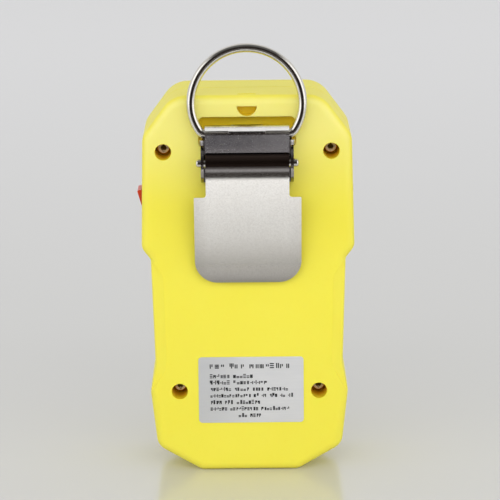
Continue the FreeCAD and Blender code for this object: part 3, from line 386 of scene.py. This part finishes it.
def screw_head():
    """Zinc-plated head with a painted highlight round the driver's recess, and painted shade,
    dark in the recess and amber outside the highlight.
    """
    finish = Finish("screw_head")
    across, _, height = finish.axes()
    reach = reach_from_screws(across, height)
    worn = finish.noise(0.5 * MM, 2.0)
    # painted highlight: a pale, less metallic ring round the driver's recess
    bright = reach.fade(1.6 * MM, 1.4 * MM) * reach.fade(0.7 * MM, 0.95 * MM) * (0.8 + worn * 0.4)
    # painted shade: dark in the driver's recess and amber outside the ring
    painted_shade = finish.mix(reach.fade(0.8 * MM, 1.5 * MM), srgb(92, 78, 38), srgb(196, 152, 30))
    base = finish.mix(bright, painted_shade, srgb(255, 250, 236))
    finish.set(Base_Color=base, Metallic=1.0 - bright * 0.7, Roughness=0.28 + worn * 0.1)
    return finish.bump(worn, 0.01 * MM).material


def moulded(name, first, second, roughness, texture_depth=0.01, grain_size=0.25):
    """Plain moulded plastic or rubber in one colour, with a fine texture."""
    finish = Finish(name, IOR=1.48)
    cloud = finish.noise(6 * MM, 3.0)
    grain = finish.noise(grain_size * MM, 3.0, 0.6)
    finish.set(Base_Color=finish.mix(cloud, first, second),
               Roughness=roughness + grain * 0.12 + cloud * 0.04)
    return finish.bump(grain, texture_depth * MM).material


def label_film():
    """Silver-grey printed film with a faint brushed sheen."""
    finish = Finish("label_film", Metallic=0.35, IOR=1.5)
    brushed = finish.noise(0.3 * MM, 2.0, 0.6, (0.05, 1.0, 1.0))
    cloud = finish.noise(7 * MM, 2.0)
    base = finish.mix(brushed, srgb(226, 227, 229), srgb(238, 238, 240))
    base = finish.mix(cloud * 0.35, base, srgb(214, 215, 219))
    # painted shade: the label greys towards its +X end
    painted_shade = finish.axes()[0].fade(-4 * MM, 15 * MM)
    finish.set(Base_Color=finish.mix(painted_shade * 0.5, base, srgb(190, 192, 195)),
               Roughness=0.34 + brushed * 0.14)
    return finish.bump(brushed, 0.002 * MM).material


def clear_pane(name, first, second, transmission=0.85):
    """Hard-coated clear or tinted plastic with faint wiping marks."""
    finish = Finish(name, IOR=1.49, Transmission_Weight=transmission)
    wipe = finish.noise(2.0 * MM, 3.0, 0.6, (0.3, 1.0, 1.0))
    finish.set(Base_Color=finish.mix(wipe, first, second), Roughness=0.04 + wipe * 0.05)
    return finish.material


def circuit_board():
    """Green solder mask with copper tracks showing through it."""
    finish = Finish("circuit_board", IOR=1.5)
    tracks = finish.cells(3.0 * MM, "DISTANCE_TO_EDGE") < 0.12
    base = finish.mix(tracks, srgb(14, 74, 40), srgb(28, 110, 62))
    finish.set(Base_Color=base, Roughness=0.32 + tracks * 0.1)
    return finish.bump(tracks, 0.02 * MM).material


def lcd_face():
    """Grey-green reflective display glass."""
    finish = Finish("lcd_face", IOR=1.5)
    rows = finish.noise(0.5 * MM, 1.0)
    cloud = finish.noise(9 * MM, 2.0)
    base = finish.mix(cloud, srgb(150, 160, 136), srgb(166, 174, 150))
    finish.set(Base_Color=finish.mix(rows * 0.15, base, srgb(120, 128, 108)),
               Roughness=0.25 + cloud * 0.1)
    return finish.material


def porous_sheet(name, first, second):
    """A porous or foamed sheet with an open, uneven surface."""
    finish = Finish(name, IOR=1.4, Specular_IOR_Level=0.3)
    pores = finish.cells(0.35 * MM)
    finish.set(Base_Color=finish.mix(pores, first, second), Roughness=0.8 + pores * 0.15)
    return finish.bump(pores, 0.05 * MM).material


YELLOW = moulded_yellow()
INK = moulded("dark_ink", srgb(26, 28, 32), srgb(40, 42, 46), 0.5, 0.002)
SIGN = moulded("pale_sign", srgb(206, 208, 210), srgb(222, 223, 224), 0.45, 0.006)
STEEL = satin_steel()
SCUFFED = scuffed_steel()
WIRE = bright_wire()
SCREW = turned_metal("zinc_screw", srgb(232, 226, 208), srgb(248, 244, 232), 0.3)
HEAD = screw_head()
BRASS = turned_metal("turned_brass", srgb(190, 150, 80), srgb(214, 176, 104), 0.25)
CAN = turned_metal("drawn_can", srgb(196, 196, 196), srgb(216, 216, 216), 0.25)
SPRING = turned_metal("spring_wire", srgb(150, 148, 146), srgb(180, 178, 176), 0.3)
LABEL = label_film()
RED = moulded("rocker_red", srgb(214, 58, 26), srgb(226, 72, 34), 0.22, 0.004)
BLACK = moulded("moulded_black", srgb(26, 26, 27), srgb(34, 34, 35), 0.42)
SEAL = moulded("black_rubber", srgb(22, 22, 22), srgb(34, 34, 34), 0.6)
KEYS = moulded("key_rubber", srgb(66, 68, 72), srgb(76, 78, 82), 0.5, 0.02)
PLATE = moulded("plate_film", srgb(40, 42, 45), srgb(48, 50, 54), 0.38, 0.015, 0.15)
WHITE = moulded("white_plastic", srgb(222, 221, 214), srgb(232, 231, 226), 0.4)
CELL = moulded("cell_sleeve", srgb(40, 70, 130), srgb(52, 84, 150), 0.3)
PANE = clear_pane("window_pane", srgb(226, 232, 230), srgb(236, 240, 238))
ALARM = clear_pane("alarm_lens", srgb(220, 26, 20), srgb(232, 40, 30), 0.5)
BOARD = circuit_board()
DISPLAY = lcd_face()
FILTER = porous_sheet("filter_membrane", srgb(226, 226, 220), srgb(242, 242, 238))
FOAM = porous_sheet("pad_foam", srgb(30, 30, 32), srgb(48, 48, 50))

NODE_FINISH = {
    "rear_shell": YELLOW, "front_shell": YELLOW, "case_seal": SEAL, "case_screws": HEAD,
    "screw_inserts": BRASS, "clip_base": SCUFFED, "clip_lever": STEEL, "clip_pin": WIRE,
    "clip_spring": SPRING, "clip_rivets": WIRE, "d_ring": WIRE, "rating_label": LABEL,
    "switch_housing": BLACK, "switch_rocker": RED, "charge_socket": CAN, "socket_cover": SEAL,
    "face_plate": PLATE, "lcd_window": PANE, "lcd_module": DISPLAY, "key_left": KEYS,
    "key_middle": KEYS, "key_right": KEYS, "keypad_mat": KEYS, "sensor_cap": BLACK,
    "sensor_filter": FILTER, "sensor_gasket": SEAL, "gas_sensor": WHITE, "sensor_board": BOARD,
    "alarm_lenses": ALARM, "alarm_leds": ALARM, "main_board": BOARD, "board_chips": BLACK,
    "board_screws": SCREW, "battery_cell": CELL, "battery_pad": FOAM, "buzzer": BLACK,
    "vibration_motor": CAN, "motor_weight": BRASS,
}


def finish_nodes():
    """Gives every CAD node its material."""
    for name, material in NODE_FINISH.items():
        slots = NODES[name].data.materials
        slots.clear()
        slots.append(material)


# ---- pieces ---------------------------------------------------------------------------
def flat_mark(shape, left, right, low, high, y):
    """A flat rectangle across Y, in millimetres."""
    corners = [(left, y, low), (right, y, low), (right, y, high), (left, y, high)]
    shape.faces.new([shape.verts.new(Vector(corner) * MM) for corner in corners])


def give_thickness(shape, thickness):
    """Turns flat marks into solid ones; thickness is along Y, in millimetres."""
    raised = bmesh.ops.extrude_face_region(shape, geom=shape.faces[:])
    top = [v for v in raised["geom"] if isinstance(v, bmesh.types.BMVert)]
    bmesh.ops.translate(shape, vec=(0.0, thickness * MM, 0.0), verts=top)


def finished_piece(name, shape, material, body):
    """Makes a piece from this shape with this material, which rides on a body."""
    bmesh.ops.recalc_face_normals(shape, faces=shape.faces)
    mesh = bpy.data.meshes.new(name)
    shape.to_mesh(mesh)
    shape.free()
    piece = bpy.data.objects.new(name, mesh)
    mesh.materials.append(material)
    bpy.context.scene.collection.objects.link(piece)
    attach(piece, body)
    return piece


def label_print():
    """Rows of small marks that stand for the label's printing, with no real letters."""
    shape = bmesh.new()
    chance = random.Random(7)
    for start, drop, height, width, words in PRINT_ROWS:
        gaps = len(words) - 1
        letter = width / (sum(words) + WORD_GAP * gaps)
        left = LABEL_LEFT - start
        low = LABEL_TOP - drop - height
        for count in words:
            for _ in range(count):
                printed_mark(shape, chance, left, low, letter * MARK_WIDTH, height)
                left -= letter
            left -= letter * WORD_GAP
    give_thickness(shape, INK_THICKNESS)
    return finished_piece("label_print", shape, INK, "case")


def printed_mark(shape, chance, left, low, width, height):
    """Loose upright and level strokes that don't join, so they never make a letter."""
    y = LABEL_FACE + LABEL_INK_LIFT
    thick = height * STROKE
    top = low + height * chance.choice(MARK_TOPS)
    uprights, levels = chance.choice(PRINT_PATTERNS)
    for place in uprights:
        start = left - (width - thick) * place
        foot = low + (RAISED_FOOT if chance.random() < RAISED_SHARE else 0.0) * height
        flat_mark(shape, start - thick, start, foot, top, y)
    start = left - (thick + STROKE_GAP if 0.0 in uprights else 0.0)
    end = left - width + (thick + STROKE_GAP if 1.0 in uprights else 0.0)
    for level in levels:
        foot = low + (top - low - thick) * level
        flat_mark(shape, end, start, foot, foot + thick, y)


def segment_zero(shape, left, y):
    """A zero on the display, made of six bars."""
    thick = DIGIT_WIDTH * BAR_SHARE
    right = left + DIGIT_WIDTH
    middle = DIGIT_LOW + DIGIT_HEIGHT / 2
    top = DIGIT_LOW + DIGIT_HEIGHT
    bars = (
        (left + thick, right - thick, top - thick, top),
        (left + thick, right - thick, DIGIT_LOW, DIGIT_LOW + thick),
        (left, left + thick, middle, top),
        (left, left + thick, DIGIT_LOW, middle),
        (right - thick, right, middle, top),
        (right - thick, right, DIGIT_LOW, middle),
    )
    for x0, x1, z0, z1 in bars:
        flat_mark(shape, x0 + BAR_GAP, x1 - BAR_GAP, z0 + BAR_GAP, z1 - BAR_GAP, y)


def display_marks():
    """The reading, level bars, a battery sign and a row of small signs on the display."""
    shape = bmesh.new()
    y = DISPLAY_FACE - DISPLAY_INK_LIFT
    segment_zero(shape, -9.5, y)
    flat_mark(shape, -2.9, -1.8, DIGIT_LOW, DIGIT_LOW + 1.1, y)
    segment_zero(shape, -0.4, y)
    # the battery sign: its four cells, its two long sides and its cap
    for x in (8.4, 9.5, 10.6, 11.7):
        flat_mark(shape, x, x + 0.7, 68.4, 70.0, y)
    flat_mark(shape, 7.9, 12.9, 70.3, 70.6, y)
    flat_mark(shape, 7.9, 12.9, 67.8, 68.1, y)
    flat_mark(shape, 12.9, 13.4, 68.6, 69.8, y)
    # five small signs, each a stem over a foot
    for step in range(5):
        x = -13.6 + step * 2.3
        flat_mark(shape, x, x + 1.5, 68.0, 68.4, y)
        flat_mark(shape, x + 0.4, x + 1.1, 68.7, 70.4, y)
    # three level bars beside the reading
    for step in range(3):
        low = 57.0 + step * 2.2
        flat_mark(shape, 8.6, 13.0, low, low + 0.6, y)
    give_thickness(shape, -INK_THICKNESS)
    return finished_piece("display_marks", shape, INK, "case")


def arrow(way):
    """A flat arrow head that points up where way is 1 and down where it is -1."""
    shape = bmesh.new()
    shape.faces.new([shape.verts.new(Vector((u, w * way, 0.0)) * MM) for u, w in ARROW_UP])
    return shape


def dot():
    """A flat round dot."""
    shape = bmesh.new()
    bmesh.ops.create_circle(shape, cap_ends=True, segments=24, radius=DOT_RADIUS * MM)
    return shape


def key_mark(name, x, shape):
    """Stands a flat sign on a key's face, where it is moulded a little proud."""
    place = Matrix.Translation(Vector((x, KEY_FACE, KEY_HEIGHT)) * MM)
    stand = place @ Matrix.Rotation(math.pi / 2, 4, "X")
    bmesh.ops.transform(shape, matrix=stand, verts=shape.verts)
    give_thickness(shape, -SIGN_RISE)
    return finished_piece(name + "_mark", shape, SIGN, name + "_body")


def key_marks():
    """An arrow up, a round dot and an arrow down."""
    key_mark("key_left", -KEY_SPACING, arrow(1))
    key_mark("key_middle", 0.0, dot())
    key_mark("key_right", KEY_SPACING, arrow(-1))


def spring_leg(shape, place, way):
    """A straight leg of the spring's wire from this place, with a rounded tip."""
    radius = SPRING_WIRE_R * MM
    made = bmesh.ops.create_cone(shape, cap_ends=True, segments=WIRE_SIDES, radius1=radius,
                                 radius2=radius, depth=SPRING_LEG * MM)
    turn = way.to_track_quat("Z", "Y").to_matrix().to_4x4()
    middle = (place + way * SPRING_LEG / 2) * MM
    bmesh.ops.transform(shape, matrix=Matrix.Translation(middle) @ turn, verts=made["verts"])
    tip = (place + way * SPRING_LEG) * MM
    rim = [e for e in shape.edges if e.is_valid and len(e.link_faces) == 2
           and all((v.co - tip).length < radius * 1.05 for v in e.verts)]
    bmesh.ops.bevel(shape, geom=rim, offset=TIP_ROUND * MM, offset_type="OFFSET", segments=2,
                    affect="EDGES", profile=0.5, material=-1)


def spring_half(shape, side, on_lever):
    """One coil of the torsion spring with its leg on the plate, or only its leg on the lever."""
    part = bmesh.new()
    if on_lever:
        spring_leg(part, Vector((SPRING_COIL_R, 0.0, 0.0)), Vector((0.0, -1.0, 0.0)))
    else:
        turns = SPRING_TURNS + 0.5 + (LEVER_LEAN - SPRING_BACK_ANGLE) / 360.0
        steps = round(turns * COIL_STEPS)
        section = bmesh.ops.create_circle(part, segments=WIRE_SIDES, radius=SPRING_WIRE_R * MM)
        stand = (Matrix.Translation((SPRING_COIL_R * MM, 0, 0))
                 @ Matrix.Rotation(math.pi / 2, 4, "X"))
        bmesh.ops.transform(part, matrix=stand, verts=section["verts"])
        bmesh.ops.spin(part, geom=part.verts[:] + part.edges[:], cent=(0, 0, 0), axis=(0, 0, 1),
                       dvec=(0, 0, SPRING_PITCH * turns / steps * MM),
                       angle=2 * math.pi * turns, steps=steps)
        bmesh.ops.holes_fill(part, edges=[e for e in part.edges if e.is_boundary], sides=0)
        turn = math.radians(LEVER_LEAN - SPRING_BACK_ANGLE)
        end = Vector((-SPRING_COIL_R * math.cos(turn), -SPRING_COIL_R * math.sin(turn),
                      SPRING_PITCH * turns))
        spring_leg(part, end, Vector((math.sin(turn), -math.cos(turn), 0.0)))
    place = (Matrix.Translation(Vector((SPRING_INNER_END, PIN_Y, PIN_Z)) * MM)
             @ Matrix.Rotation(math.radians(90 - LEVER_LEAN), 4, "X")
             @ Matrix.Rotation(math.pi / 2, 4, "Y"))
    bmesh.ops.transform(part, matrix=place, verts=part.verts)
    bmesh.ops.scale(part, vec=(side, 1.0, 1.0), verts=part.verts)
    bmesh.ops.recalc_face_normals(part, faces=part.faces)
    between = bpy.data.meshes.new("between")
    part.to_mesh(between)
    part.free()
    shape.from_mesh(between)
    bpy.data.meshes.remove(between)


def spring():
    """The spring in two pieces, so that the legs on the lever turn with it."""
    for name, body, on_lever in (("spring_coils", "case", False), ("spring_legs", "lever", True)):
        shape = bmesh.new()
        for side in (-1, 1):
            spring_half(shape, side, on_lever)
        for face in shape.faces:
            face.smooth = True
        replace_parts(finished_piece(name, shape, SPRING, body), "clip_spring")


def soft_edges(name, width):
    """Breaks a CAD node's sharp edges, as pressing or moulding does."""
    modifier = NODES[name].modifiers.new("soft_edges", "BEVEL")
    modifier.width = width * MM
    modifier.segments = 2
    modifier.limit_method = "ANGLE"
    modifier.angle_limit = math.radians(EDGE_ANGLE)


# ---- stage ----------------------------------------------------------------------------
def floor():
    """A white, slightly glossy board under the object, which ends on the camera's side."""
    mesh = bpy.data.meshes.new("floor")
    shape = bmesh.new()
    bmesh.ops.create_grid(shape, x_segments=1, y_segments=1, size=1.0)
    bmesh.ops.scale(shape, vec=(FLOOR_HALF_WIDTH, FLOOR_HALF_DEPTH, 1.0), verts=shape.verts)
    bmesh.ops.translate(shape, vec=(0.0, FLOOR_FRONT - FLOOR_HALF_DEPTH, 0.0),
                        verts=shape.verts)
    shape.to_mesh(mesh)
    shape.free()
    plane = bpy.data.objects.new("floor", mesh)
    bpy.context.scene.collection.objects.link(plane)
    finish = Finish("pale_board", IOR=2.0, Emission_Strength=1.0)
    cloud = finish.noise(0.25, 2.0)
    depth = finish.axes()[1]
    base = finish.mix(cloud, (0.67, 0.668, 0.65, 1), (0.70, 0.698, 0.68, 1))
    # painted light: the board is greyer near the object and lighter far behind it and towards its
    # front edge, where a painted glow also lights it
    base = finish.mix(depth.fade(0.05, -0.9), base, (0.97, 0.97, 0.99, 1))
    base = finish.mix(depth.fade(0.07, FLOOR_FRONT), base, (0.98, 0.98, 0.975, 1))
    glow = finish.mix(depth.fade(0.11, FLOOR_FRONT), (0.0, 0.0, 0.0, 1), (0.34, 0.34, 0.34, 1))
    finish.set(Base_Color=base, Roughness=0.15 + cloud * 0.04, Emission_Color=glow)
    plane.data.materials.append(finish.material)


def softbox(name, azimuth, elevation, reach, size, power):
    """A soft light at this azimuth from +Y towards +X and this elevation, in degrees."""
    light = bpy.data.lights.new(name, "AREA")
    light.shape = "RECTANGLE"
    light.size, light.size_y = size
    light.energy = power
    turn = math.radians(azimuth)
    rise = math.radians(elevation)
    level = math.cos(rise)
    way = Vector((math.sin(turn) * level, math.cos(turn) * level, math.sin(rise)))
    lamp = bpy.data.objects.new(name, light)
    lamp.location = MIDDLE + way * reach
    lamp.rotation_euler = way.to_track_quat("Z", "Y").to_euler()
    lamp.visible_camera = False
    bpy.context.scene.collection.objects.link(lamp)
    return lamp


def surroundings():
    """A white tent open on the camera's side, where a dark room and a grey bench show."""
    world = bpy.data.worlds.new("studio")
    world.use_nodes = True
    studio = Nodes(world.node_tree, "Generated")
    across, depth, height = studio.axes()
    room = studio.node("ShaderNodeValToRGB", {"stops": ROOM_FROM_LOW_TO_HIGH},
                       {0: height.fade(-0.6, 1.0, "LINEAR")}).outputs[0]
    tent = studio.mix(across.size().fade(0.52, 0.72, "LINEAR"), room, TENT_SIDES)
    tent = studio.mix(depth.fade(0.10, -0.40), tent, TENT_BACK)
    camera_ray = studio.node("ShaderNodeLightPath").outputs["Is Camera Ray"]
    seen = studio.mix(camera_ray, tent, BACKDROP)
    studio.tree.links.new(seen, studio.tree.nodes["Background"].inputs[0])
    bpy.context.scene.world = world


def lights():
    """Two boxes at the sides, and a fill above the camera that reflections don't show."""
    softbox("left_box", 58, 22, 1.1, (0.8, 0.9), 1.8)
    softbox("right_box", -58, 22, 1.1, (0.8, 0.9), 1.8)
    fill = softbox("fill_box", 0, 27, 1.2, (1.8, 1.0), 10.8)
    fill.visible_glossy = False


def camera():
    """A long lens, a little above the object, on the clip's side."""
    distance = 0.700
    elevation = math.radians(13.25)
    roll = math.radians(0.55)
    target = Vector((0.0, 0.015, 0.0651))
    back = Vector((0.0, math.cos(elevation), math.sin(elevation)))
    right = Vector((-1.0, 0.0, 0.0))
    up = back.cross(right)
    turned_right = right * math.cos(roll) - up * math.sin(roll)
    turned_up = up * math.cos(roll) + right * math.sin(roll)
    lens = bpy.data.cameras.new("camera")
    lens.lens = 179.1
    lens.sensor_width = 36.0
    lens.shift_x = 0.0038
    eye = bpy.data.objects.new("camera", lens)
    turn = Matrix((turned_right, turned_up, back)).transposed().to_4x4()
    eye.matrix_world = Matrix.Translation(target + back * distance) @ turn
    bpy.context.scene.collection.objects.link(eye)
    bpy.context.scene.camera = eye


bpy.context.scene.view_settings.view_transform = "Standard"
camera()
floor()
surroundings()
lights()
finish_nodes()
spring()
label_print()
display_marks()
key_marks()
for edge_name, edge_width in EDGE_WIDTHS.items():
    soft_edges(edge_name, edge_width)
